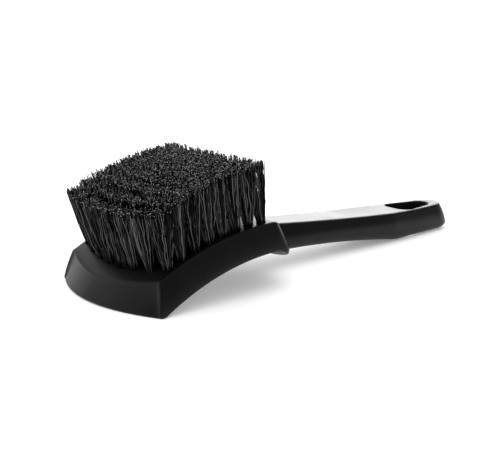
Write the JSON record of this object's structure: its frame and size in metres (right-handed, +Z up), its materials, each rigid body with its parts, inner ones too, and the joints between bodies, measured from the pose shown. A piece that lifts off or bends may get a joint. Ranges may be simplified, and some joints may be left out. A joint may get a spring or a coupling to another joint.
{
  "type": "wheel brush",
  "caption": "Hand brush for wheels and tyres: arched wide head with a bowed front, dense block of dark filament tufts, straight handle with a rounded three-cornered hang hole.",
  "frame": {"origin": "centre of the bounding box in plan, on the table plane that the front foot and the handle's end rest on", "axes": "+X from the head towards the handle's end, +Y across the brush, +Z up, the way the tufts point"},
  "size_m": [0.27, 0.092, 0.0692],
  "materials": {
    "body_plastic": "satin moulded black plastic",
    "filament": "dark extruded filament, cut ends lighter",
    "anchor_wire": "flat drawn staple wire"
  },
  "bodies": {
    "root": {"brush_body": "body_plastic", "tuft_row_01": "filament", "tuft_row_02": "filament", "tuft_row_03": "filament", "tuft_row_04": "filament", "tuft_row_05": "filament", "tuft_row_06": "filament", "tuft_row_07": "filament", "tuft_row_08": "filament", "anchor_row_01": "anchor_wire", "anchor_row_02": "anchor_wire", "anchor_row_03": "anchor_wire", "anchor_row_04": "anchor_wire", "anchor_row_05": "anchor_wire", "anchor_row_06": "anchor_wire", "anchor_row_07": "anchor_wire", "anchor_row_08": "anchor_wire"}
  },
  "joints": []
}
